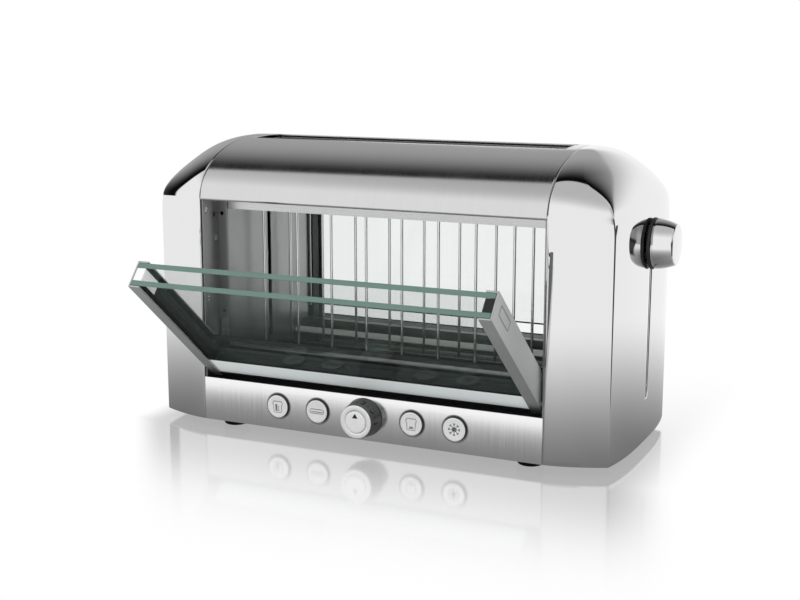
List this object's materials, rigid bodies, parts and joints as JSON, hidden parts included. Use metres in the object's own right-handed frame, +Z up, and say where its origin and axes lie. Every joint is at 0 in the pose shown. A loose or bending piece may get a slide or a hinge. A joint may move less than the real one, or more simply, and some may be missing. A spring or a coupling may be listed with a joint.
{
  "type": "drop side toaster",
  "caption": "Long-slot toaster with polished end caps, a brushed arched top, a glass window that drops open on each side, a dial, push buttons and an end lever.",
  "frame": {"origin": "middle of the footprint on the surface that the feet stand on", "axes": "+X along the bread slot towards the lever, -Y towards the front with the dial, +Z up"},
  "size_m": [0.3917, 0.2696, 0.2205],
  "materials": {
    "brushed_steel": "brushed across the length",
    "chrome_caps": "mirror polish",
    "slot_metal": "satin",
    "inner_metal": "satin",
    "black_trim": "matt black",
    "bright_wire": "drawn wire",
    "quartz": "satin quartz",
    "ceramic": "glazed ceramic",
    "reflector": "polished",
    "rubber_feet": "matt",
    "bracket_metal": "plated",
    "circuit": "solder mask",
    "window_rail": "satin anodised",
    "window_glass": "clear, slightly green",
    "pale_strip": "pale satin",
    "knob_metal": "polished",
    "button_metal": "satin",
    "dial_metal": "satin",
    "tray_metal": "brushed"
  },
  "bodies": {
    "chassis": {"top_hood": "brushed_steel", "slot_collar": "slot_metal", "left_end_cap": "chrome_caps", "right_end_cap": "chrome_caps", "front_panel": "brushed_steel", "rear_panel": "brushed_steel", "window_sills": "black_trim", "base_plate": "black_trim", "left_inner_wall": "inner_metal", "right_inner_wall": "inner_metal", "left_jambs": "inner_metal", "right_jambs": "inner_metal", "front_lintel": "brushed_steel", "rear_lintel": "brushed_steel", "front_lower_frame": "inner_metal", "rear_lower_frame": "inner_metal", "front_guide_wires": "bright_wire", "rear_guide_wires": "bright_wire", "quartz_tubes": "quartz", "tube_holders": "ceramic", "lower_reflectors": "reflector", "upper_reflectors": "reflector", "jamb_screws": "bright_wire", "stay_lugs": "inner_metal", "feet": "rubber_feet", "foot_screws": "bright_wire", "guide_rod": "bright_wire", "guide_rod_bracket": "bracket_metal", "hold_magnet": "bracket_metal", "control_board": "circuit", "button_switches": "circuit", "dial_encoder": "circuit", "power_board": "circuit", "cord_gland": "black_trim", "lift_spring": "bright_wire"},
    "front_window": {"front_window_left_rail": "window_rail", "front_window_right_rail": "window_rail", "front_window_outer_pane": "window_glass", "front_window_inner_pane": "window_glass", "front_window_strip": "pale_strip", "front_window_liners": "black_trim", "front_window_pins": "bright_wire"},
    "rear_window": {"rear_window_left_rail": "window_rail", "rear_window_right_rail": "window_rail", "rear_window_outer_pane": "window_glass", "rear_window_inner_pane": "window_glass", "rear_window_strip": "pale_strip", "rear_window_liners": "black_trim", "rear_window_pins": "bright_wire"},
    "lift": {"lever_knob": "knob_metal", "knob_collar": "black_trim", "lift_carriage": "bracket_metal", "bread_rack": "bright_wire"},
    "bread_button_body": {"bread_button": "button_metal"},
    "bagel_button_body": {"bagel_button": "button_metal"},
    "gluten_free_button_body": {"gluten_free_button": "button_metal"},
    "defrost_button_body": {"defrost_button": "button_metal"},
    "dial_body": {"dial": "dial_metal"},
    "stop_button_body": {"stop_button": "button_metal"},
    "tray_body": {"crumb_tray": "tray_metal"}
  },
  "joints": [
    {"name": "front_window_hinge", "type": "hinge", "parent": "chassis", "child": "front_window", "pos_m": [0, -0.081, 0.049], "axis": [1, 0, 0], "range_deg": [-50, 0]},
    {"name": "rear_window_hinge", "type": "hinge", "parent": "chassis", "child": "rear_window", "pos_m": [0, 0.081, 0.049], "axis": [-1, 0, 0], "range_deg": [0, 50]},
    {"name": "lift_slide", "type": "slide", "parent": "chassis", "child": "lift", "axis": [0, 0, -1], "range_m": [0, 0.106], "stiffness_N_per_m": 40, "springref_m": -0.12, "deforming": ["lift_spring"]},
    {"name": "bread_button_press", "type": "slide", "parent": "chassis", "child": "bread_button_body", "axis": [0, 1, 0], "range_m": [0, 0.0012], "stiffness_N_per_m": 500, "springref_m": -0.0006},
    {"name": "bagel_button_press", "type": "slide", "parent": "chassis", "child": "bagel_button_body", "axis": [0, 1, 0], "range_m": [0, 0.0012], "stiffness_N_per_m": 500, "springref_m": -0.0006},
    {"name": "gluten_free_button_press", "type": "slide", "parent": "chassis", "child": "gluten_free_button_body", "axis": [0, 1, 0], "range_m": [0, 0.0012], "stiffness_N_per_m": 500, "springref_m": -0.0006},
    {"name": "defrost_button_press", "type": "slide", "parent": "chassis", "child": "defrost_button_body", "axis": [0, 1, 0], "range_m": [0, 0.0012], "stiffness_N_per_m": 500, "springref_m": -0.0006},
    {"name": "stop_button_press", "type": "slide", "parent": "chassis", "child": "stop_button_body", "axis": [0, 1, 0], "range_m": [0, 0.001], "stiffness_N_per_m": 500, "springref_m": -0.0006},
    {"name": "dial_turn", "type": "hinge", "parent": "chassis", "child": "dial_body", "pos_m": [0, -0.091, 0.0242], "axis": [0, -1, 0], "range_deg": [-115, 155]},
    {"name": "crumb_tray_slide", "type": "slide", "parent": "chassis", "child": "tray_body", "axis": [0, 1, 0], "range_m": [0, 0.13]}
  ]
}
